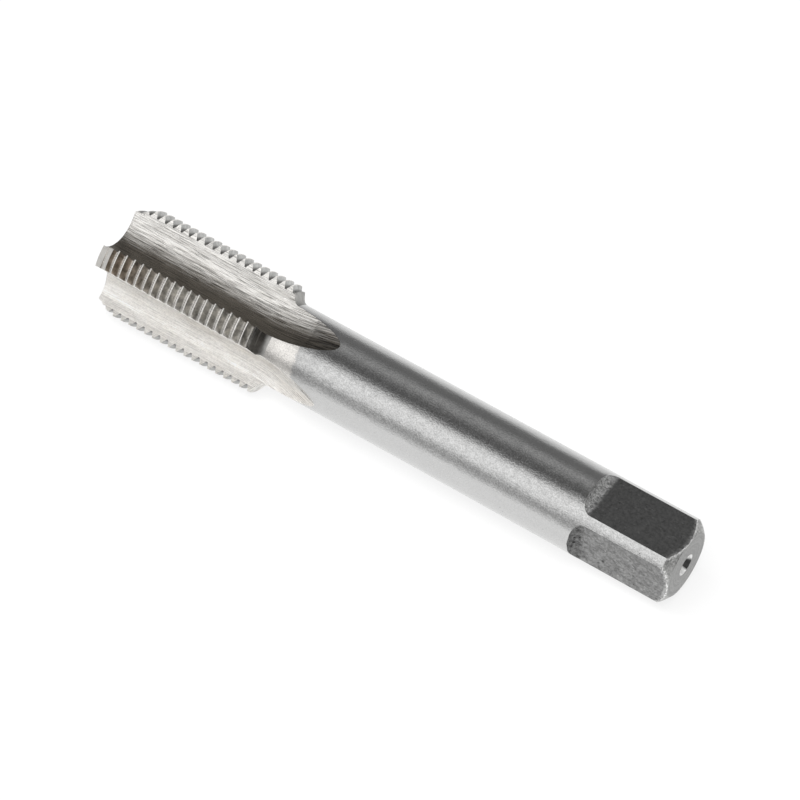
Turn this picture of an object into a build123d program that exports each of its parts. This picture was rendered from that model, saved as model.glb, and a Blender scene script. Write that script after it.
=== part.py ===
from build123d import *
import os
from math import acos, atan2, ceil, cos, degrees, radians, sin, sqrt, tan

# A hand tap for a right-hand M18 x 1.5 thread, in millimetres, turned, milled and ground from one bar of
# tool steel. It lies as it comes to rest: +X runs from the cutting tip to the square end, +Z is up, and
# the origin is under the middle of the tap, on the surface that it lies on.

# Overall
overall_length = 102.0

# Thread
thread_diameter = 18.0
thread_pitch = 1.5
thread_length = 29.25
flank_half_angle = 30.0
groove_depth = 0.92
crest_flat = 0.19
first_crest = 3.48
groove_overrun = 0.08
groove_run_on = 15.0

# Cutting lead at the tip
lead_length = 3.1
tip_diameter = 15.2

# Flutes between the lands, each lifted out of the shank along a curve and a ramp
flute_count = 4
web_diameter = 7.9
flute_radius = 4.4
land_angle = 23.3
heel_slope = 25.0
flute_straight = 28.0
lift_radius = 20.0
lift_angle = 17.0

# Shoulder and shank
shank_diameter = 13.6
shoulder_angle = 60.0
shoulder_fillet = 1.0

# Square for the wrench
square_across_flats = 10.74
square_length = 14.3
square_end_radius = 2.0
square_turn = 2.0
end_chamfer_length = 1.25
end_chamfer_crown = 0.05
end_face_diameter = 10.5

# Centre holes in both ends, left from turning and grinding
centre_mouth_diameter = 3.5
centre_cone_angle = 60.0
centre_pilot_diameter = 1.6
centre_depth = 3.6

thread_radius = thread_diameter / 2
shank_radius = shank_diameter / 2
web_radius = web_diameter / 2
flute_offset = web_radius + flute_radius
flute_spacing = 360 / flute_count
mouth_angle = flute_spacing - land_angle


def flute_half_angle(radius):
    """Half the angle that a flute's arc takes out of a circle of this radius about the tap's axis."""
    reach = radius**2 + flute_offset**2 - flute_radius**2
    return degrees(acos(reach / (2 * radius * flute_offset)))


# The arc ends at the cutting face, so it leans that way from the middle of the flute's mouth.
flute_lean = mouth_angle / 2 - flute_half_angle(thread_radius)


def turned_blank():
    """The turned bar in one revolve: lead, thread diameter, shoulder, shank and crowned end chamfer."""
    shoulder_length = (thread_radius - shank_radius) / tan(radians(shoulder_angle))
    shoulder_foot = (thread_length + shoulder_length, shank_radius)
    chamfer_start = Vector(overall_length - end_chamfer_length, shank_radius)
    chamfer_end = Vector(overall_length, end_face_diameter / 2)
    slant = chamfer_end - chamfer_start
    outward = Vector(-slant.Y, slant.X).normalized()
    crown = (chamfer_start + chamfer_end) / 2 + outward * 2 * end_chamfer_crown
    bar = Polyline(
        (0, 0),
        (0, tip_diameter / 2),
        (lead_length, thread_radius),
        (thread_length, thread_radius),
        shoulder_foot,
        chamfer_start,
    )
    chamfer = Bezier(chamfer_start, crown, chamfer_end)
    end = Polyline(chamfer_end, (overall_length, 0), (0, 0))
    section = make_face((bar + chamfer + end).edges())
    foot = section.vertices().sort_by_distance(shoulder_foot)[0]
    return revolve(fillet(foot, shoulder_fillet), Axis.X)


def flute_profile():
    """A flute across the tap: an arc that hooks under the cutting edge, and a slope out to the heel."""
    heel_angle = radians(mouth_angle / 2 + flute_lean)
    heel = Vector(sin(heel_angle), cos(heel_angle)) * thread_radius
    slope = Vector(cos(radians(heel_slope)), sin(radians(heel_slope))) * flute_radius
    inner = heel - slope / 2
    outer = heel + slope
    above = (outer.X, flute_offset + flute_radius)
    back = make_face(Polyline(inner, outer, above, (0, flute_offset), close=True))
    return Plane.YZ * (Pos(0, flute_offset) * Circle(flute_radius) + back)


def flute_cutter():
    """One flute swept from ahead of the tip, straight past the thread, then up and out of the shank."""
    turn = radians(lift_angle)
    ramp_length = (shank_radius - web_radius) / sin(turn)
    bend = Vector(flute_straight, 0, flute_offset)
    straight = Line(Vector(-flute_radius, 0, flute_offset), bend)
    lift = TangentArc(bend, bend + Vector(sin(turn), 0, 1 - cos(turn)) * lift_radius, tangent=(1, 0, 0))
    ramp = Line(lift @ 1, lift @ 1 + (lift % 1) * ramp_length)
    return sweep(Pos(-flute_radius, 0, 0) * flute_profile(), Wire([straight, lift, ramp]))


def flutes():
    """The flutes all round, with the middle of one mouth straight down."""
    cutter = Rot(flute_lean, 0, 0) * flute_cutter()
    return [Rot(flute_spacing * number, 0, 0) * cutter for number in range(flute_count)]


def groove_piece(sweep_angle):
    """The length of thread groove that crosses one land: the thread form swept along its helix."""
    slant = tan(radians(flank_half_angle))
    top = thread_radius + groove_overrun
    root = thread_radius - groove_depth
    half_top = (thread_pitch - crest_flat) / 2 + groove_overrun * slant
    half_root = half_top - (top - root) * slant
    form = Polyline((-half_top, top), (-half_root, root), (half_root, root), (half_top, top), close=True)
    rise = thread_pitch * sweep_angle / 360
    helix = Edge.make_helix(thread_pitch, rise, thread_radius, normal=(1, 0, 0))
    return sweep(Plane.XZ * make_face(form), helix, is_frenet=True)


def thread_grooves():
    """Every groove piece: turn by turn on each land, all on one right-hand helix."""
    sweep_angle = land_angle + groove_run_on
    middle = thread_pitch * sweep_angle / 720
    piece = Rot(-sweep_angle / 2, 0, 0) * Pos(-middle, 0, 0) * groove_piece(sweep_angle)
    before = ceil(first_crest / thread_pitch)
    after = ceil((thread_length - first_crest) / thread_pitch)
    grooves = []
    for land in range(flute_count):
        on_land = Rot(flute_spacing * (land + 0.5), 0, 0) * piece
        land_shift = first_crest + thread_pitch * land / flute_count
        for turn in range(-before, after):
            grooves.append(Pos(land_shift + thread_pitch * (turn + 0.5), 0, 0) * on_land)
    return grooves


def square_cutters():
    """What milling the square takes off: four flats, each ending in the round of the cutter."""
    start = overall_length - square_length
    height = square_across_flats / 2 + square_end_radius
    flat = Pos(overall_length, 0, height) * Box(2 * square_length, 2 * shank_diameter, 2 * square_end_radius)
    end = Pos(start, 0, height) * Rot(90, 0, 0) * Cylinder(square_end_radius, 2 * shank_diameter)
    return [Rot(square_turn + 90 * side, 0, 0) * tool for side in range(4) for tool in (flat, end)]


def centre_hole():
    """A countersunk centre hole that opens at the origin and runs in along +X to a drill point."""
    mouth_radius = centre_mouth_diameter / 2
    pilot_radius = centre_pilot_diameter / 2
    cone_depth = (mouth_radius - pilot_radius) / tan(radians(centre_cone_angle / 2))
    outline = Polyline(
        (0, 0),
        (0, mouth_radius),
        (cone_depth, pilot_radius),
        (centre_depth, pilot_radius),
        (centre_depth + pilot_radius, 0),
        close=True,
    )
    return revolve(make_face(outline), Axis.X)


def set_down(tap):
    """Lay the tap on the edges of its lowest flute and on the shank just before the square."""
    flat_depth = shank_radius - square_across_flats / 2
    end_run = sqrt(square_end_radius**2 - (square_end_radius - flat_depth) ** 2)
    span = overall_length - square_length - end_run - thread_length
    drop = thread_radius * cos(radians(mouth_angle / 2)) - shank_radius
    laid = Rot(0, degrees(atan2(drop, span)), 0) * tap
    box = laid.bounding_box()
    return Pos(-box.center().X, -box.center().Y, -box.min.Z) * laid


thread_tap = turned_blank() - flutes() - thread_grooves() - square_cutters()
thread_tap -= [centre_hole(), Pos(overall_length, 0, 0) * Rot(0, 180, 0) * centre_hole()]
thread_tap = set_down(thread_tap)

os.makedirs("parts", exist_ok=True)
export_step(thread_tap, "parts/thread_tap.step")
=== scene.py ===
from itertools import accumulate
from math import cos, pi, radians, sin, tan

import bpy
from mathutils import Matrix, Vector


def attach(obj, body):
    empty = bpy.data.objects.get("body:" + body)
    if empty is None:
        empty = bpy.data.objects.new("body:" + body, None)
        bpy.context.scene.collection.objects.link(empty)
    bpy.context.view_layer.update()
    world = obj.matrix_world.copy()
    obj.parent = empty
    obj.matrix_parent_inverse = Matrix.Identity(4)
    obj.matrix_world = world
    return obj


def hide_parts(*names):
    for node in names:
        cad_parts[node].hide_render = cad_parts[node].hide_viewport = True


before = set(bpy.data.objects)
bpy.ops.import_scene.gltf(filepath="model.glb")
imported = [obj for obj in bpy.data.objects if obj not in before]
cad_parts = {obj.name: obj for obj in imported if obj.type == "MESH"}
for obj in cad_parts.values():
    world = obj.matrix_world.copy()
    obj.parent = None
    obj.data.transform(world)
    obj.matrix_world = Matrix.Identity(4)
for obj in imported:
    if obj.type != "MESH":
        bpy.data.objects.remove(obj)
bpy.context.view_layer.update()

# The view: a long lens looks down on the tap from over its square end, so the tip is the far end. The
# land between the two flutes that show is turned almost to the lens.
mm = 0.001
tip_centre = Vector((-50.9865, 0.0074, 7.8888)) * mm
lying_angle = radians(0.7276)
lie = Matrix.Translation(tip_centre) @ Matrix.Rotation(lying_angle, 4, "Y")

focal_pixels = 3413.538
frame_pixels = 800
tip_pixel = (122.296, 254.777)
tip_depth = 528.0713
lens_pitch = radians(19.30226)
lens_roll = radians(28.776517)
facing_angle = radians(125.43)
side_angle = facing_angle - pi / 2

# The tap's own ways, and the same ways as the lens sees them: right, down and away.
along_tap = Vector((1, 0, 0))
towards_lens = Vector((0, cos(facing_angle), sin(facing_angle)))
across_lens = Vector((0, cos(side_angle), sin(side_angle)))
seen_along = Vector((cos(lens_pitch) * cos(lens_roll), cos(lens_pitch) * sin(lens_roll), -sin(lens_pitch)))
seen_facing = Vector((-sin(lens_pitch) * cos(lens_roll), -sin(lens_pitch) * sin(lens_roll), -cos(lens_pitch)))
seen_across = Vector((sin(lens_roll), -cos(lens_roll), 0))
tip_offset = [(pixel - frame_pixels / 2) / focal_pixels * tip_depth for pixel in tip_pixel]
seen_tip = Vector((*tip_offset, tip_depth))


def on_tap(seen):
    """Turn what the lens sees, as right, down and away, into the tap's own ways."""
    facing = towards_lens * seen.dot(seen_facing) + across_lens * seen.dot(seen_across)
    return along_tap * seen.dot(seen_along) + facing


right, down, away = [on_tap(Vector(way)) for way in ((1, 0, 0), (0, 1, 0), (0, 0, 1))]
lens_turn = Matrix((right, -down, -away)).transposed().to_4x4()
lens_place = -on_tap(seen_tip)
lens_data = bpy.data.cameras.new("view")
lens_data.lens = focal_pixels / frame_pixels * lens_data.sensor_width
lens_data.clip_start = 0.01
view = bpy.data.objects.new("view", lens_data)
bpy.context.collection.objects.link(view)
view.matrix_world = lie @ Matrix.Translation(lens_place * mm) @ lens_turn
bpy.context.scene.camera = view
bpy.context.scene.view_settings.view_transform = "Standard"


# The studio: a white table with one large soft lamp above it. A light tent round it puts a long white
# panel over the side of the tap that faces the lens, and dark gaps beside the panel, into the steel.
class Wire:
    """A node's socket. Sums that are written with it add their Math nodes to its tree."""

    def __init__(self, tree, socket=None):
        self.tree = tree
        self.socket = socket

    def node(self, kind, settings, values, output=0):
        """Add any node: its settings first, then the values or links of its sockets."""
        made = self.tree.nodes.new(kind)
        for name, setting in settings.items():
            if name == "stops":
                ramp = made.color_ramp
                while len(ramp.elements) < len(setting):
                    ramp.elements.new(1)
                for stop, (place, shade) in zip(ramp.elements, setting):
                    stop.position = place
                    stop.color = (*shade, 1)
            elif name == "interpolation":
                made.color_ramp.interpolation = setting
            else:
                setattr(made, name, setting)
        for name, value in values.items():
            if isinstance(value, Wire):
                self.tree.links.new(value.socket, made.inputs[name])
            else:
                made.inputs[name].default_value = value
        return Wire(self.tree, made.outputs[output] if made.outputs else None)

    def out(self, name):
        """Another output of the node that this socket is on."""
        return Wire(self.tree, self.socket.node.outputs[name])

    def math(self, operation, *others):
        """Add a Math node that takes this value first, and then the others."""
        return self.node("ShaderNodeMath", {"operation": operation}, dict(enumerate((self, *others))))

    def __add__(self, other):
        return self.math("ADD", other)

    def __radd__(self, other):
        return self.math("ADD", other)

    def __sub__(self, other):
        return self.math("SUBTRACT", other)

    def __rsub__(self, other):
        return self.node("ShaderNodeMath", {"operation": "SUBTRACT"}, {0: other, 1: self})

    def __mul__(self, other):
        return self.math("MULTIPLY", other)

    def __rmul__(self, other):
        return self.math("MULTIPLY", other)

    def __truediv__(self, other):
        return self.math("DIVIDE", other)

    def __rtruediv__(self, other):
        return self.node("ShaderNodeMath", {"operation": "DIVIDE"}, {0: other, 1: self})

    def __lt__(self, other):
        return self.math("LESS_THAN", other)

    def __gt__(self, other):
        return self.math("GREATER_THAN", other)

    def ramp(self, start, end, low=0.0, high=1.0, kind="LINEAR"):
        """Run from low to high as this value goes from start to end, and stay there."""
        values = {"Value": self, "From Min": start, "From Max": end, "To Min": low, "To Max": high}
        return self.node("ShaderNodeMapRange", {"interpolation_type": kind}, values)


def split(way):
    """Split a vector. This is its X, and the same node gives its Y and Z."""
    return way.node("ShaderNodeSeparateXYZ", {}, {0: way})


def round_axis(spot):
    """How far round the X axis a split vector points, in degrees from Y towards Z."""
    return spot.out("Z").math("ARCTAN2", spot.out("Y")) * (180 / pi)


def mix_colour(share, first, second):
    """Mix two colours by a share from 0 to 1."""
    return share.node("ShaderNodeMix", {"data_type": "RGBA"}, {0: share, 6: first, 7: second}, 2)


room = bpy.data.worlds.new("studio")
room.use_nodes = True
room.node_tree.nodes.clear()
air = Wire(room.node_tree)
sky = split(air.node("ShaderNodeTexCoord", {}, {}, "Generated"))

# How bright the tent is, by the angle round the tap in degrees, from the far side over the top to the near
# side.
tent_start, tent_end = -10, 190
tent_strength = 2.0
tent_shades = [
    (-10, 0.76), (0, 0.68), (7, 0.38), (14, 0.19), (40, 0.17), (48, 0.28), (57, 0.37), (67, 0.32), (78, 0.19),
    (88, 0.125), (98, 0.125), (107, 0.30), (116, 0.76), (124, 1.07), (150, 1.05), (159, 0.8), (168, 0.52),
    (177, 0.40), (190, 0.6),
]
tent_stops = []
for place, shade in tent_shades:
    tent_stops.append(((place - tent_start) / (tent_end - tent_start), (shade / tent_strength,) * 3))
tent_place = round_axis(sky).ramp(tent_start, tent_end)
tent = tent_place.node("ShaderNodeValToRGB", {"stops": tent_stops, "interpolation": "EASE"}, {0: tent_place})

# Past the square end the tent is open, and the room behind it is dark, but for its ceiling.
high_up = sky.out("Z").ramp(0.12, 0.3, kind="SMOOTHSTEP")
past_tent = sky.ramp(0.58, 0.7, kind="SMOOTHSTEP") * (1 - high_up * 0.35)
tent = mix_colour(past_tent, tent, mix_colour(high_up, (0.04, 0.04, 0.04, 1), (0.36, 0.36, 0.36, 1)))
ray = air.node("ShaderNodeLightPath", {}, {})
steel_sky = air.node("ShaderNodeBackground", {}, {"Color": tent, "Strength": tent_strength})
plain_sky = air.node("ShaderNodeBackground", {}, {"Color": (1, 1, 1, 1), "Strength": 1.0})
soft_sky = air.node("ShaderNodeBackground", {}, {"Color": (1, 1, 1, 1), "Strength": 0.55})
lit = air.node("ShaderNodeMixShader", {}, {0: ray.out("Is Camera Ray"), 1: soft_sky, 2: plain_sky})
lit = air.node("ShaderNodeMixShader", {}, {0: ray.out("Is Glossy Ray"), 1: lit, 2: steel_sky})
air.node("ShaderNodeOutputWorld", {}, {"Surface": lit})
bpy.context.scene.world = room

# The table is white to the lens. In the steel it is white near the tap and grey further off.
table_corners = [(-4, -4, 0), (4, -4, 0), (4, 4, 0), (-4, 4, 0)]
table_mesh = bpy.data.meshes.new("table")
table_mesh.from_pydata(table_corners, [], [(0, 1, 2, 3)])
table = bpy.data.objects.new("table", table_mesh)
bpy.context.collection.objects.link(table)
table_white = bpy.data.materials.new("table_white")
table_white.use_nodes = True
table_white.node_tree.nodes.clear()
top = Wire(table_white.node_tree)
top_place = split(top.node("ShaderNodeTexCoord", {}, {}, "Object"))
near_side = top_place.out("Y").ramp(-0.075, -0.03, 0.58, 1.0, "SMOOTHSTEP")
far_side = top_place.out("Y").ramp(0.02, 0.09, 1.0, 0.76, "SMOOTHSTEP")
past_end = top_place.ramp(0.09, 0.2, 1.0, 0.2, "SMOOTHSTEP")
ray = top.node("ShaderNodeLightPath", {}, {})
paper = top.node("ShaderNodeBsdfDiffuse", {}, {"Color": (0.85, 0.85, 0.85, 1)})
white = top.node("ShaderNodeEmission", {}, {"Color": (1, 1, 1, 1), "Strength": 1.0})
reflected = mix_colour(near_side * far_side * past_end, (0, 0, 0, 1), (1, 1, 1, 1))
reflected = top.node("ShaderNodeEmission", {}, {"Color": reflected, "Strength": 1.0})
seen = top.node("ShaderNodeMixShader", {}, {0: ray.out("Is Camera Ray") * 0.8, 1: paper, 2: white})
seen = top.node("ShaderNodeMixShader", {}, {0: ray.out("Is Glossy Ray"), 1: seen, 2: reflected})
top.node("ShaderNodeOutputMaterial", {}, {"Surface": seen})
table_mesh.materials.append(table_white)

lamp_data = bpy.data.lights.new("soft_lamp", "AREA")
lamp_data.shape = "RECTANGLE"
lamp_data.size = 0.9
lamp_data.size_y = 0.6
lamp_data.energy = 9.0
lamp = bpy.data.objects.new("soft_lamp", lamp_data)
bpy.context.collection.objects.link(lamp)
lamp.location = (-0.1, -0.25, 0.8)
lamp.rotation_euler = (-Vector(lamp.location)).to_track_quat("-Z", "Y").to_euler()
lamp.visible_glossy = False

# The tap: one bar of hardened tool steel. It is turned, its flutes and square are milled, its thread is
# cut on the four lands, and then it is ground. Sizes are in millimetres from the tip along its own axis.
tap_sizes = {
    "Overall length": 102.0,
    "Thread radius": 9.0,
    "Pitch": 1.5,
    "Groove depth": 0.92,
    "Crest flat": 0.19,
    "Tip radius": 7.6,
    "Lead length": 3.1,
    "Shoulder start": 29.25,
    "Shank radius": 6.8,
    "Web radius": 3.95,
    "Flute radius": 4.4,
    "Flute straight": 28.0,
    "Flat height": 5.37,
    "Square start": 87.7,
    "Square end radius": 2.0,
    "End radius": 5.25,
    "End chamfer": 1.25,
}
lands = 4
length = tap_sizes["Overall length"]
pitch = tap_sizes["Pitch"]
crest_flat = tap_sizes["Crest flat"]
chamfer_crown = 0.25

# The thread: the middle land's place round the tap in degrees, the first crest on that land, and how far a
# flank runs along the tap.
middle_land = 135
first_crest = 3.48
flank_run = 0.531
root_flat = pitch - crest_flat - 2 * flank_run
crest_phase = first_crest + pitch * middle_land / 360
thread_row = crest_phase - 2 * pitch - crest_flat / 2
turns = 17
thread_end = thread_row + turns * pitch

# The shoulder behind the thread, and the two ends' centre holes.
shoulder_angle = radians(60)
fillet_radius = 1.0
clear_of_thread = 31
drill_radius = 0.8
drill_point = 0.8
hole_radius = 1.75
hole_depth = 3.6
hole_flare = hole_radius - drill_radius
hole_cone = hole_flare / tan(radians(30))

# A flute: its middle's place round the tap and the width of the land beside it, both in degrees. It has a
# round floor, a wall on its cutting side, and a slope on the heel side, through a point that is given
# across the flute and up from the tap's axis. The floor climbs out at the back, on a large round.
flute_place = 94.277
flute_angle = radians(flute_place)
land_angle = 23.3
wall_bend = radians(62)
heel_point = (5.494, 7.129)
heel_way = (cos(radians(25)), sin(radians(25)))
heel_start = -1.706
heel_bend = radians(63.8)
lift_turn = radians(17)
lift_round = 20
lift_radius = tap_sizes["Flute radius"] + lift_round
lift_bend = lift_radius * sin(lift_turn)

# The square: it leans two degrees off the lands, and its cutter runs out over a short way. The sheet's
# columns turn from the lands to the square on the plain shank, and gather towards the flats.
gather_start = 84.0
gather_angle = radians(27)
mill_run_out = 1.917
mill_start = tap_sizes["Square start"] - mill_run_out
flat_lean = radians(2)
square_shift = radians(90) + flat_lean - flute_angle
flute_end, plain_shank = 45, 80

# A distance from the axis that is outside the tap, for cuts that don't reach a place.
far_out = 20.0

# One sheet of rows along the tap and columns round it carries the whole surface, with a row on every
# corner of the thread and a column on every edge of a flute.
tree = bpy.data.node_groups.new("tap_surface", "GeometryNodeTree")
for name, value in tap_sizes.items():
    tree.interface.new_socket(name=name, in_out="INPUT", socket_type="NodeSocketFloat").default_value = value
tree.interface.new_socket(name="Tap", in_out="OUTPUT", socket_type="NodeSocketGeometry")
body = Wire(tree)
given = body.node("NodeGroupInput", {}, {})
size = {name: given.out(name) for name in tap_sizes}

# Columns: each quarter has one flute and one land. A flute's columns go down the heel's slope, over the
# floor in two halves and up the wall. A land's outer columns turn into the flats of the square.
flute_columns, land_columns = 24, 30
slope_columns, floor_column, wall_column = 4, 13, 20
flat_columns = 9
quarter = flute_columns + land_columns
columns = lands * quarter

# Rows from the bottom of the hole in the tip to the first thread: how many, and how far each run takes
# them along the tap and out from its axis.
hole_rows, tip_rows, lead_rows, end_rows = 3, 6, 5, 3
tip_face = 6.05
before_thread = [
    (1, -drill_point, drill_radius),
    (1, hole_cone - hole_depth, 0),
    (1, -hole_cone, hole_flare),
    (tip_rows, 0, tip_face),
    (lead_rows, thread_row, 0),
]
turn_rows = [(1, crest_flat), (3, flank_run), (2, root_flat), (3, flank_run)]

# Rows from the last thread to the bottom of the hole in the end: how many, and where each run ends.
runs = [
    (30, tap_sizes["Shoulder start"]),  # the last turns of the thread
    (14, 30.1),  # down the shoulder
    (14, 31.1),  # round its fillet
    (30, 39.5),  # the flutes' climb
    (16, 41.0),  # the flutes' ends
    (29, gather_start),  # the plain shank
    (12, mill_start),  # the columns gather
    (16, tap_sizes["Square start"]),  # the cutter's run-out
    (7, length - tap_sizes["End chamfer"]),  # the flats
    (13, 101.9),  # the chamfer
    (3, length),  # its last edge
    (end_rows, length),  # in over the end face
    (1, length - hole_cone),  # down the countersink
    (1, length - hole_depth),  # down the drilled wall
    (1, length - hole_depth - drill_point),  # to the drill's point
]
run_starts = [thread_end] + [end for count, end in runs[:-1]]
after_thread = [(count, end - start) for (count, end), start in zip(runs, run_starts)]
rows_before = sum(step[0] for step in before_thread)
rows_in_turn = sum(step[0] for step in turn_rows)
rows_after = sum(step[0] for step in after_thread)
rows = rows_before + rows_in_turn * turns + rows_after + 1

sheet_size = {"Size X": 1.0, "Size Y": 1.0, "Vertices X": rows, "Vertices Y": columns + 1}
sheet = body.node("GeometryNodeMeshGrid", {}, sheet_size)
sheet_place = split(body.node("GeometryNodeInputPosition", {}, {}))
row = (sheet_place + 0.5) * (rows - 1)
column = (sheet_place.out("Y") + 0.5) * columns


def climb(value, start, steps):
    """Add up runs of rows, each with how many rows it has and how far it goes."""
    total = 0
    for count, rise in steps:
        if rise:
            total = value.ramp(start, start + count, 0, rise) + total
        start += count
    return total


nudge = 0.01
exact_row = row.math("ROUND")
exact_column = column.math("ROUND")
in_thread = (exact_row - rows_before).math("MINIMUM", rows_in_turn * turns).math("MAXIMUM", 0)
turn = ((in_thread + nudge) / rows_in_turn).math("FLOOR")
row_place = hole_depth + drill_point + climb(exact_row, 0, [step[:2] for step in before_thread])
row_place = row_place + turn * size["Pitch"] + climb(in_thread - turn * rows_in_turn, 0, turn_rows)
row_place = row_place + climb(exact_row, rows - 1 - rows_after, after_thread)

# The rows on the two faces and in the two holes also have their own distance from the axis.
end_face = tap_sizes["End radius"] - hole_radius
tip_climb = [(count, out) for count, ahead, out in before_thread] + [(1, far_out)]
end_climb = [(1, drill_radius), (1, 0), (1, hole_flare), (end_rows, end_face), (1, far_out)]
open_radius = climb(exact_row, 0, tip_climb)
close_radius = climb((rows - 1) - exact_row, 0, end_climb)
row_radius = open_radius.math("MINIMUM", close_radius)

quadrant = (exact_column / quarter).math("FLOOR")
step = exact_column - quadrant * quarter
flute_share = step.ramp(0, flute_columns)
land_column = step - flute_columns
land_share = land_column.ramp(0, land_columns)

# Each row leans along the thread's helix on the lands, and runs back to the next land in the flute. The
# lean is none in the middle between the second land and the third.
middle_quadrant = 1.5
land_lead = pitch / lands
land_rise = pitch * land_angle / 360 / 2
at_land = (quadrant - middle_quadrant) * land_lead
lean_start = (quadrant - (middle_quadrant + 1)) * land_lead + land_rise + (quadrant < 0.5) * pitch
lean_flute = lean_start + (at_land - land_rise - lean_start) * flute_share
lean = lean_flute + (at_land + (land_share * 2 - 1) * land_rise - lean_flute) * (step > flute_columns)
hold = row_place.ramp(0, thread_row) * row_place.ramp(thread_end, tap_sizes["Shoulder start"], 1, 0)
along = row_place + lean * hold * (exact_row > hole_rows + 0.5)

# The turned blank, then the thread form cut into it.
lead_slope = (size["Thread radius"] - size["Tip radius"]) / size["Lead length"]
lead = size["Tip radius"] + along * lead_slope
shoulder_height = size["Thread radius"] - size["Shank radius"]
shoulder_foot = size["Shoulder start"] + shoulder_height / tan(shoulder_angle)
cone = size["Shank radius"] + (shoulder_foot - along) * tan(shoulder_angle)
fillet_run = shoulder_foot + fillet_radius * tan(shoulder_angle / 2) - along
fillet_run = fillet_run.math("MAXIMUM", 0).math("MINIMUM", fillet_radius * sin(shoulder_angle))
fillet = size["Shank radius"] + fillet_radius - (fillet_radius**2 - fillet_run * fillet_run).math("SQRT")
chamfer_share = along.ramp(size["Overall length"] - size["End chamfer"], size["Overall length"])
chamfer = size["Shank radius"] - (size["Shank radius"] - size["End radius"]) * chamfer_share
chamfer = chamfer + chamfer_crown * chamfer_share * (1 - chamfer_share)
blank = lead.math("MINIMUM", size["Thread radius"]).math("MINIMUM", cone.math("MAXIMUM", fillet))
blank = blank.math("MINIMUM", chamfer + (along < plain_shank) * far_out)
phase = (along - lean - crest_phase) / size["Pitch"]
phase = phase - phase.math("ROUND")
off_crest = phase.math("ABSOLUTE") * size["Pitch"] - size["Crest flat"] / 2
thread = size["Thread radius"] - off_crest.ramp(0, flank_run, 0, size["Groove depth"])
blank = blank.math("MINIMUM", thread + (along > clear_of_thread) * far_out)
blank = blank.math("MINIMUM", row_radius)


# The flute: its floor runs straight and then climbs out of the shank, and its two sides meet the blank.
def flute_lift(place, straight):
    """How far the flute's floor has climbed at a place along the tap."""
    into_lift = place - straight
    bend_run = into_lift.ramp(0, lift_bend, 0, lift_bend)
    bend_rise = lift_radius - (lift_radius**2 - bend_run * bend_run).math("SQRT")
    return bend_rise + (into_lift - lift_bend).math("MAXIMUM", 0) * tan(lift_turn)


floor = flute_lift(along, size["Flute straight"])
flute_radius = size["Flute radius"]
middle = size["Web radius"] + flute_radius + floor
meeting = (middle * middle + flute_radius * flute_radius - blank * blank) / (middle * flute_radius * 2)
edge = meeting.math("MINIMUM", 1).math("MAXIMUM", -1).math("ARCCOSINE")
heel_angle = edge.math("MINIMUM", heel_bend)
wall_foot = edge.math("MINIMUM", wall_bend)

heel_height = heel_point[1] + floor
heel_along = heel_height * heel_way[1] + heel_point[0] * heel_way[0]
heel_square = heel_along * heel_along - heel_height * heel_height - heel_point[0] ** 2 + blank * blank
heel_out = heel_square.math("MAXIMUM", 0).math("SQRT") - heel_along
slope = (heel_out - heel_start).math("MAXIMUM", 0)

heel_turn = heel_angle * step.ramp(slope_columns, floor_column, 1, 0)
cut_turn = wall_foot * step.ramp(floor_column, wall_column)
cut_turn = cut_turn + (edge - wall_foot) * step.ramp(wall_column, flute_columns)
slope_here = slope * step.ramp(0, slope_columns, 1, 0)
across = flute_radius * (cut_turn.math("SINE") - heel_turn.math("SINE")) - slope_here * heel_way[0]
up = middle - flute_radius * (cut_turn + heel_turn).math("COSINE") + slope_here * heel_way[1]
flute_turn = across.math("ARCTAN2", up)
flute_reach = (across * across + up * up).math("SQRT")

heel_across = flute_radius * heel_angle.math("SINE") + slope * heel_way[0]
heel_up = middle - flute_radius * heel_angle.math("COSINE") + slope * heel_way[1]
land_width = pi / 2 - heel_across.math("ARCTAN2", heel_up) - flute_turn

# The square: four flats, whose edges take the columns with them.
mill_run = (size["Square start"] - along).math("MAXIMUM", 0)
mill_drop = size["Square end radius"] * size["Square end radius"] - mill_run * mill_run
mill = size["Flat height"] + size["Square end radius"] - mill_drop.math("MAXIMUM", 0).math("SQRT")
flat_edge = (mill / blank).math("MINIMUM", 1).math("ARCCOSINE")
gathered = along.ramp(gather_start, mill_start, gather_angle, 0)
fan = (flat_edge * (along > plain_shank)).math("MAXIMUM", gathered) / (pi / 2)
spread = fan * land_column.ramp(0, flat_columns)
spread = spread + (1 - fan * 2) * land_column.ramp(flat_columns, land_columns - flat_columns)
spread = spread + fan * land_column.ramp(land_columns - flat_columns, land_columns)
land_turn = land_width * spread
off_flat = land_turn.math("MINIMUM", pi / 2 - land_turn)
flat_reach = (mill + (along < plain_shank) * far_out) / off_flat.math("COSINE")
reach_here = flute_reach + (blank - flute_reach) * (step > flute_columns - 0.5)
reach_here = reach_here.math("MINIMUM", blank).math("MINIMUM", flat_reach)
turn_here = flute_turn + land_turn + flute_angle + quadrant * (pi / 2)
turn_here = turn_here + along.ramp(flute_end, plain_shank, 0, square_shift, "SMOOTHSTEP")
surface = body.node("ShaderNodeCombineXYZ", {}, {
    "X": along,
    "Y": reach_here * turn_here.math("COSINE"),
    "Z": reach_here * turn_here.math("SINE"),
})

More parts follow.
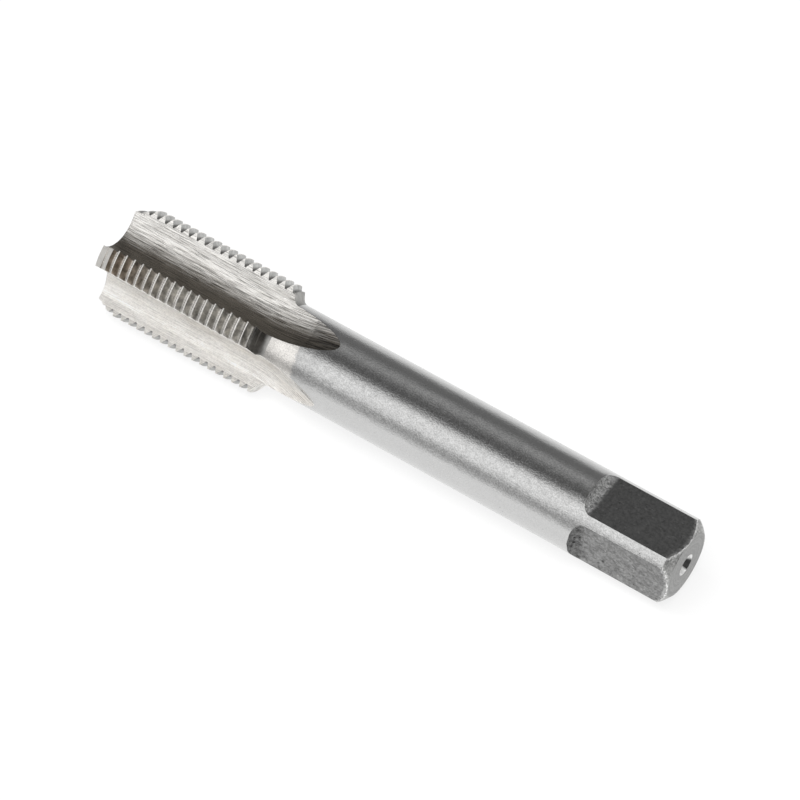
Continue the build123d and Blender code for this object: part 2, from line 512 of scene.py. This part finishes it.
# Which finish each face has, by its row and column. A face without a mark is on the shank.
flute_mark, thread_mark, flat_mark, shoulder_mark, end_mark, hole_mark = range(1, 7)
run_ends = list(accumulate((count for count, end in runs), initial=rows - 1 - rows_after))
shoulder_row, shank_row, exit_row = run_ends[1], run_ends[3], run_ends[5]
mill_row, end_row, rim_row, mouth_row = run_ends[7], run_ends[9], run_ends[10], run_ends[12]
lead_row = rows_before - lead_rows
face_column = column.math("FLOOR")
face_step = face_column - ((face_column + 0.5) / quarter).math("FLOOR") * quarter
in_flute = face_step < flute_columns - 0.5
off_corner = (face_step - (quarter - land_columns / 2 - 0.5)).math("ABSOLUTE")
on_square = (row > mill_row) * (row < rim_row)
on_flat = (off_corner > land_columns / 2 - flat_columns) * (1 - in_flute) * on_square
on_end = (row > end_row) * (row < mouth_row) * (1 - on_flat) + (row > hole_rows) * (row < lead_row)
in_hole = (row < hole_rows) + (row > mouth_row)
finish = in_flute * (row > lead_row) * (row < exit_row) * flute_mark
finish = finish + (1 - in_flute) * (row > lead_row) * (row < shoulder_row) * thread_mark
finish = finish + (1 - in_flute) * (row > shoulder_row) * (row < shank_row) * shoulder_mark
finish = finish + on_flat * flat_mark + on_end * end_mark + in_hole * hole_mark

# The sheet is bent into the tap and its seam is closed. It comes out with its inside showing, so it is
# turned outwards. Edges that bend by more than this angle stay crisp.
crisp_edge = radians(13)
seam_gap = 0.004
mark_values = {"Geometry": sheet, "Name": "finish", "Value": finish}
marked = body.node("GeometryNodeStoreNamedAttribute", {"data_type": "INT", "domain": "FACE"}, mark_values)
shaped = body.node("GeometryNodeSetPosition", {}, {"Geometry": marked, "Position": surface})
joined = body.node("GeometryNodeMergeByDistance", {}, {"Geometry": shaped, "Distance": seam_gap})
outwards = body.node("GeometryNodeFlipFaces", {}, {"Mesh": joined})
smooth_values = {"Geometry": outwards, "Shade Smooth": True}
smooth = body.node("GeometryNodeSetShadeSmooth", {"domain": "FACE"}, smooth_values)
bend = body.node("GeometryNodeInputMeshEdgeAngle", {}, {})
crisp_values = {"Geometry": smooth, "Selection": bend > crisp_edge, "Shade Smooth": False}
crisp = body.node("GeometryNodeSetShadeSmooth", {"domain": "EDGE"}, crisp_values)
lying = {"Translation": tip_centre, "Rotation": (0, lying_angle, 0), "Scale": (mm, mm, mm)}
laid = body.node("GeometryNodeTransform", {}, {"Geometry": crisp, **lying})
whole = body.node("GeometryNodeRealizeInstances", {}, {"Geometry": laid})
mark = body.node("GeometryNodeInputNamedAttribute", {"data_type": "INT"}, {"Name": "finish"})


# The shank is ground all round to a satin gloss with a fine, uneven grain, a few pits and handling marks.
# The neck next to the flutes was cleaned up to a wavy line, and is lighter and warmer than the rest.
def start_steel(name):
    """Start a steel finish: its material, and the place on the tap in millimetres, whole and split."""
    material = bpy.data.materials.new(name)
    material.use_nodes = True
    material.node_tree.nodes.clear()
    metal = Wire(material.node_tree)
    place = metal.node("ShaderNodeTexCoord", {}, {}, "Object")
    values = {"Vector": place, "Location": tip_centre, "Rotation": (0, lying_angle, 0), "Scale": (mm, mm, mm)}
    place = metal.node("ShaderNodeMapping", {"vector_type": "TEXTURE"}, values)
    return material, place, split(place)


def grain(place, spans, detail=2.0, fine=0.5, shift=0.0, turn=(0, 0, 0)):
    """Noise on the tap whose grains span these millimetres along, across and up."""
    scale = tuple(1 / span for span in spans)
    values = {"Vector": place, "Location": (shift, shift, 0), "Rotation": turn, "Scale": scale}
    spread = place.node("ShaderNodeMapping", {"vector_type": "POINT"}, values)
    values = {"Vector": spread, "Scale": 1.0, "Detail": detail, "Roughness": fine}
    return spread.node("ShaderNodeTexNoise", {}, values)


def clean_edge(spot):
    """The place along the tap, slanted as the line is at which the clean neck ends."""
    return spot + spot.out("Z") * 0.075 + spot.out("Y") * 0.11


def tint(value, colour):
    """A colour, made lighter or darker by a value."""
    return value.node("ShaderNodeVectorMath", {"operation": "SCALE"}, {0: colour, "Scale": value})


def end_steel(place, colour, roughness, height, depth, metallic=1.0):
    """Finish a steel material: colour, gloss, and marks of this height times a depth in millimetres."""
    relief = place.node("ShaderNodeBump", {}, {"Strength": 1.0, "Distance": depth * mm, "Height": height})
    values = {"Base Color": colour, "Metallic": metallic, "Roughness": roughness, "Normal": relief}
    shader = place.node("ShaderNodeBsdfPrincipled", {}, values)
    place.node("ShaderNodeOutputMaterial", {}, {"Surface": shader})


# In every finish, spot is the place along the tap and spot_out the distance from its axis, in millimetres,
# and spot_turn is the place round it, in degrees.
ground_steel = (0.618, 0.618, 0.614)
cleaned_steel = (0.84, 0.815, 0.78)
ground_shank, place, spot = start_steel("ground_shank")
spot_turn = round_axis(spot)
uneven = grain(place, (3.0, 1.4, 1.4), 3.0, 0.6)
satin = grain(place, (0.24, 0.24, 0.24), 2.0, 0.6, 4.0)
blotch = grain(place, (0.9, 0.7, 0.7), 4.0, 0.7, 3.0)
handled = spot_turn.ramp(78.0, 92.0) * spot_turn.ramp(164.0, 150.0)
pits = grain(place, (0.42, 0.3, 0.3), 1.0, 0.5, 9.0).ramp(0.79, 0.84)
hairs = grain(place, (1.6, 0.12, 0.12), 1.0, 0.5, 6.0, (0.2, 0.3, 0.5)).ramp(0.74, 0.8)
wavy_edge = clean_edge(spot) + (uneven - 0.5) * 0.9 + (blotch - 0.5) * 1.8
neck = wavy_edge.ramp(35.45, 36.05, 1.0, 0.0, "SMOOTHSTEP") * (1 - (spot_turn > 0) * (spot_turn < 90))
worn = wavy_edge.ramp(36.0, 41.0, 0.86, 1.0)
speckle = satin.ramp(0.36, 0.64)
mottle = blotch.ramp(0.36, 0.64)
tone = 0.9 + uneven * 0.08 + speckle * (0.08 + handled * 0.24 - neck * 0.14)
tone = tone + mottle * (0.02 + handled * 0.18)
tone = tone - pits * 0.6 + hairs * 0.3 - handled * 0.2 + neck * 0.06
cleaned = tint(tone * spot.ramp(31.0, 33.6, 0.8, 1.0), cleaned_steel)
colour = mix_colour(neck, tint(tone * worn, ground_steel), cleaned)
height = uneven * 0.8 + satin * 0.55 - pits * 0.6
end_steel(place, colour, 0.13 + satin * 0.09 + pits * 0.2, height, depth=0.045)


# The flutes are ground along the tap by a formed wheel. Its streaks run lengthwise, and they are deepest
# where the wheel lifts out. The upper flute's cutting side is painted dark brown, as painted shade.
def off_axis(spot):
    """How far a spot is from the tap's own axis."""
    return (spot.out("Y") * spot.out("Y") + spot.out("Z") * spot.out("Z")).math("SQRT")


fresh_steel = (0.98, 0.96, 0.925, 1)
straw_steel = (0.93, 0.86, 0.77, 1)
flute_shade_brown = (0.255, 0.23, 0.198)
ground_flute, place, spot = start_steel("ground_flute")
spot_turn = round_axis(spot)
spot_out = off_axis(spot)
across_flute = (spot_turn - flute_place).math("WRAP", 45, -45)
flute_way = (spot_turn - across_flute) * (pi / 180)
lift = flute_lift(spot, tap_sizes["Flute straight"])
wheel_place = spot.node("ShaderNodeCombineXYZ", {}, {
    "X": spot,
    "Y": spot.out("Y") - lift * flute_way.math("COSINE"),
    "Z": spot.out("Z") - lift * flute_way.math("SINE"),
})
streak = grain(wheel_place, (4.0, 0.12, 0.12), 2.0, 0.6).ramp(0.37, 0.63)
hairline = grain(wheel_place, (4.0, 0.1, 0.1), 1.0, 0.5, 5.0).ramp(0.52, 0.62)
sand = grain(place, (0.5, 0.32, 0.32), 3.0, 0.7, 8.0).ramp(0.36, 0.64)
coarse = grain(wheel_place, (8.0, 0.5, 0.5), 2.0, 0.55, 7.0).ramp(0.36, 0.64)
cloud = grain(place, (5.0, 2.2, 2.2), 3.0, 0.6, 2.0).ramp(0.3, 0.7)
lifted = spot.ramp(27.0, 36.0)
past_neck = clean_edge(spot).ramp(35.7, 36.1)
flute_shade_turn = spot_turn + (streak - 0.5) * 18 + (coarse - 0.5) * 5 + (cloud - 0.5) * 5 + hairline * 9
heel_side = across_flute.ramp(-35.0, -20.0, 1.0, 0.0)
low_side = (spot_turn < -130) * (spot_turn > -176)
# Painted shade: the upper flute's cutting side, which its own walls shade, is painted dark brown.
painted_flute_shade = flute_shade_turn.ramp(62.0, 95.0) * (spot_turn > 50) * (spot_turn < 132)
bright = 0.8 + streak * 0.24 + coarse * 0.05 + cloud * 0.08 - hairline * (0.4 - heel_side * 0.06)
bright = bright - past_neck * (1 - low_side * 0.8) * ((1 - streak) * 0.45 - 0.02) - hairline * lifted * 0.1
gritty = hairline * 0.24 - streak * 0.1 - cloud * 0.1 + sand * 0.16 + past_neck * 0.1
bright = bright + low_side * gritty - (1 - streak) * coarse * lifted * (0.35 - low_side * 0.3)
wall_tone = spot_out.ramp(5.4, 6.2, 0.0, 0.08) - spot_out.ramp(6.5, 6.9, 0.0, 0.2)
wall_tone = (wall_tone - spot_out.ramp(7.9, 8.3, 0.0, 0.08)) * across_flute.ramp(22.0, 27.0)
wall_tone = wall_tone - spot_turn.ramp(-163.0, -147.0, 0.16, 0.0)
heel_tone = (1 - low_side) * 0.14 - spot_out.ramp(7.4, 7.8, 0.0, 0.2)
bright = bright * (1 + low_side * wall_tone + heel_side * heel_tone)
warmth = low_side * cloud * 0.5 * spot_turn.ramp(-160.0, -146.0, 1.0, 0.4)
clean = tint(bright, mix_colour(warmth, fresh_steel, straw_steel))
colour = mix_colour(painted_flute_shade, clean, tint(bright, flute_shade_brown))
height = streak * 0.5 + coarse * (0.16 + lifted * 0.16 - low_side * 0.06)
height = height + sand * low_side * 0.4 - hairline * 0.25
metallic = 0.7 - heel_side * 0.18 + painted_flute_shade * 0.3
end_steel(place, colour, 0.36 + streak * 0.08, height, depth=0.07, metallic=metallic)


# The thread is cut on the lands and left so. Its crests and the flanks behind them are painted lighter, as
# painted highlights, and its roots are painted darker, as painted shade. On the middle land the flanks that
# face the square are dull with burnt oil, brownest near the tip.
def middle_land_oil_and_shade(spot_turn):
    """Where round the tap the middle land is: burnt oil on its thread, and painted shade on the shoulder
    behind it.
    """
    return spot_turn.ramp(104.0, 114.0) * spot_turn.ramp(150.0, 158.0, 1.0, 0.0)


dull_steel = (0.60, 0.60, 0.585)
highlight_steel = (0.82, 0.80, 0.765, 1)
pale_oil = (0.70, 0.675, 0.63, 1)
brown_oil = (0.44, 0.375, 0.31, 1)
cut_thread, place, spot = start_steel("cut_thread")
spot_turn = round_axis(spot)
spot_out = off_axis(spot)
thread_turn = ((spot - first_crest) / pitch - (spot_turn - middle_land) / 360).math("FRACT")
oil_and_shade_mask = middle_land_oil_and_shade(spot_turn)
fine = grain(place, (0.3, 0.36, 0.36), 2.0, 0.6).ramp(0.36, 0.64)
chatter = (spot_turn * 2.5 + thread_turn * 9).math("SINE")
blotch = grain(place, (1.3, 1.1, 1.1), 3.0, 0.6, 5.0).ramp(0.34, 0.66)
# Painted highlights: the crests and the flanks behind them are painted lighter, and on the middle land a thin
# line at each crest and at each foot.
crest_highlight = thread_turn.ramp(0.09, 0.07)
painted_highlight = thread_turn.ramp(0.4, 0.46, 0.0, 0.2) + thread_turn.ramp(0.57, 0.6, 0.0, 0.8) + crest_highlight
painted_highlight = painted_highlight.math("MINIMUM", 1)
foot_highlight = thread_turn.ramp(0.49, 0.53) * thread_turn.ramp(0.72, 0.67)
gap = thread_turn.ramp(0.67, 0.72) * thread_turn.ramp(0.94, 0.91)
twin_highlight = foot_highlight * 0.8 + thread_turn.ramp(0.91, 0.94) + crest_highlight + gap * (chatter * 0.5 + 0.1)
# Painted highlight: the lead's crests near the tip are painted lighter.
lead_rise = (tap_sizes["Thread radius"] - tap_sizes["Tip radius"]) / tap_sizes["Lead length"]
below_lead = spot_out - (tap_sizes["Tip radius"] + spot * lead_rise)
lead_highlight = below_lead.ramp(-0.06, -0.03) * (spot < 3.2)
painted_highlight = (painted_highlight + (twin_highlight - painted_highlight) * oil_and_shade_mask).math("MAXIMUM", lead_highlight)
# On the middle land the last strip before the shoulder has no painted highlight, and its oil is darker.
last = spot.ramp(28.6, 28.75)
brown = spot.ramp(5.0, 14.0, 1.0, 0.0)
oil = tint((0.38 + blotch * 0.74) * (1 - last * 0.7), mix_colour(brown, pale_oil, brown_oil))
# Painted shade: the plain flanks are painted darker deep in the roots. They are also darker on the low side,
# below -120 degrees round the tap.
root_shade = spot_out.ramp(8.25, 8.5, 0.4, 1.0)
plain = tint(root_shade * (0.76 + blotch * 0.36) * (1 - (spot_turn < -120) * 0.2), dull_steel)
colour = mix_colour(painted_highlight * (1 - last * oil_and_shade_mask), mix_colour(oil_and_shade_mask, plain, oil), highlight_steel)
highlight_dashes = painted_highlight * (1 - lead_highlight) * (fine * 0.24 + chatter * 0.13)
colour = tint(0.82 + fine * 0.16 * (1 - lead_highlight) + highlight_dashes, colour)
end_steel(place, colour, 0.3 + fine * 0.12, fine * 0.3 + blotch * 0.5, depth=0.05)

# The flats of the square are milled and then blackened in hardening. Handling has left them freckled with
# small bright scratches, and the cutter's run-out at their foot is rough. The top flat is painted lighter, as
# painted light, most of all on its run-out, and the run-out on the other flats is darker.
blackened_steel = (0.238, 0.238, 0.236)
chamfer_fall = 0.806
milled_flat, place, spot = start_steel("milled_flat")
cloud = grain(place, (1.5, 1.1, 1.1), 4.0, 0.65).ramp(0.36, 0.64)
freckle = grain(place, (0.45, 0.42, 0.42), 3.0, 0.7, 2.0).ramp(0.35, 0.65)
hairs = grain(place, (0.9, 0.14, 0.14), 1.0, 0.5, 3.0, (0.5, 0.35, 0.9)).ramp(0.72, 0.8)
hairs = hairs + grain(place, (0.8, 0.15, 0.15), 1.0, 0.5, 8.0, (-0.4, 0.6, -0.7)).ramp(0.72, 0.8)
dents = grain(place, (0.7, 0.6, 0.6), 2.0, 0.5, 11.0).ramp(0.64, 0.72)
run_out = spot.ramp(87.8, 87.1)
# Painted light: the flat on top, which faces up, is painted lighter and gets its own mix of marks.
lit_top_flat = spot.out("Z").ramp(4.6, 5.2)
# A bright freckled line by the end chamfer: partly the burr's bare steel, partly a painted highlight on the
# edge.
rim_highlight = (spot + off_axis(spot) * chamfer_fall).ramp(105.65, 106.1) * freckle
tone = 0.44 + lit_top_flat * 0.24 + cloud * (0.52 - lit_top_flat * 0.38) + freckle * (0.72 - lit_top_flat * 0.36)
tone = tone + hairs * (1.8 - lit_top_flat * 0.5) - dents * (0.6 - lit_top_flat * 0.36) + rim_highlight * 1.6
tone = tone + run_out * (lit_top_flat * (1.0 + freckle * 2.6) - 0.36)
height = freckle * (0.3 + run_out * 1.5) + cloud
end_steel(place, tint(tone, blackened_steel), 0.32 + cloud * 0.1, height, depth=0.05)

# The shoulder behind the thread is turned, and it is even and dark from hardening. At the middle land it is
# painted nearly black up to its foot, as painted shade, and its quarter that is low and near the lens is
# painted paler, as painted light.
dark_steel = (0.42, 0.415, 0.40, 1)
painted_lit_steel = (0.74, 0.725, 0.69, 1)
shade_black_steel = (0.1, 0.094, 0.085, 1)
turned_shoulder, place, spot = start_steel("turned_shoulder")
spot_turn = round_axis(spot)
stain = grain(place, (1.4, 1.4, 1.4), 3.0, 0.6).ramp(0.35, 0.65)
rings = grain(place, (0.12, 4.0, 4.0), 2.0, 0.5, 1.0)
# Painted shade: at the middle land the shoulder is painted nearly black, up to its foot.
oil_and_shade_mask = middle_land_oil_and_shade(spot_turn) * spot.ramp(30.2, 30.9, 1.0, 0.0)
# Painted light: the quarter that is low and near the lens is painted paler.
bare = mix_colour(spot_turn < -90, dark_steel, painted_lit_steel)
colour = tint(0.75 + stain * 0.5, mix_colour(oil_and_shade_mask, bare, shade_black_steel))
end_steel(place, colour, 0.45, rings + stain * 0.4, depth=0.03)

# The two ends are faced on the lathe, so faint rings run round them. The square end's chamfer is freckled,
# and milling has pushed a burr over its edge along each flat. It is painted as a bright line: partly the
# burr's own bare steel, partly a painted highlight on the edge.
faced_steel = (0.31, 0.31, 0.305)
turned_end, place, spot = start_steel("turned_end")
spot_out = off_axis(spot)
square_end = spot > length / 2
freckle = grain(place, (0.34, 0.34, 0.34), 3.0, 0.7).ramp(0.34, 0.66)
stain = grain(place, (1.3, 1.3, 1.3), 4.0, 0.65, 3.0).ramp(0.34, 0.66)
ring_place = spot_out.node("ShaderNodeCombineXYZ", {}, {"X": spot_out, "Y": spot * 0.3})
rings = grain(ring_place, (0.16, 1.0, 1.0), 2.0, 0.6).ramp(0.35, 0.65)
across_flats = (spot.out("Y") * cos(flat_lean) + spot.out("Z") * sin(flat_lean)).math("ABSOLUTE")
up_flats = (spot.out("Z") * cos(flat_lean) - spot.out("Y") * sin(flat_lean)).math("ABSOLUTE")
# A bright line on the end along each flat: partly the burr's bare steel, partly a painted highlight on the
# edge.
burr_highlight = across_flats.math("MAXIMUM", up_flats).ramp(4.9, 5.25) * (0.1 + freckle * freckle * 1.4) * square_end
on_chamfer = spot_out.ramp(5.2, 5.35) * square_end
tone = 0.49 + stain * 0.22 + freckle * (0.3 + on_chamfer * 0.75) + rings * 0.26 + burr_highlight * 2.2
end_steel(place, tint(tone, faced_steel), 0.3 + stain * 0.12, rings * 0.3 + freckle * 0.6, depth=0.05)

# The centre holes are drilled and countersunk for turning and grinding between centres. One side of them
# is painted black, as painted shade, and the rest is painted bright, as painted light.
hole_lit_steel = (0.95, 0.95, 0.94, 1)
hole_shade_black = (0.03, 0.03, 0.03, 1)
drilled_hole, place, spot = start_steel("drilled_hole")
spot_turn = round_axis(spot)
stain = grain(place, (0.5, 0.5, 0.5), 2.0, 0.5)
# Painted shade: the side of the hole from -80 to 0 degrees round the tap is painted black.
painted_hole_shade = spot_turn.ramp(-80.0, -68.0) * spot_turn.ramp(-22.0, 0.0, 1.0, 0.0)
colour = tint(0.8 + stain * 0.4, mix_colour(painted_hole_shade, hole_lit_steel, hole_shade_black))
end_steel(place, colour, 0.3, stain, depth=0.02, metallic=0.3)

# The finished tap: the steels go on in the order of their marks, and one plain mesh takes the place of
# the solid, on its one body.
steels = [ground_shank, ground_flute, cut_thread, milled_flat, turned_shoulder, turned_end, drilled_hole]
finished = whole
for number, material in enumerate(steels):
    values = {"Geometry": finished, "Selection": mark.math("COMPARE", number, 0.1), "Material": material}
    finished = body.node("GeometryNodeSetMaterial", {}, values)
body.node("NodeGroupOutput", {}, {"Tap": finished})

seed_mesh = bpy.data.meshes.new("tap_seed")
seed = bpy.data.objects.new("tap_seed", seed_mesh)
bpy.context.collection.objects.link(seed)
maker = seed.modifiers.new("surface", "NODES")
maker.node_group = tree
for item in tree.interface.items_tree:
    if item.in_out == "INPUT":
        maker[item.identifier] = tap_sizes[item.name]
made_seed = seed.evaluated_get(bpy.context.evaluated_depsgraph_get())
tap_mesh = bpy.data.meshes.new_from_object(made_seed)
bpy.data.objects.remove(seed)
tap_mesh.name = "ground_tap"
tap = bpy.data.objects.new("ground_tap", tap_mesh)
bpy.context.collection.objects.link(tap)
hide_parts("thread_tap")
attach(tap, "root")
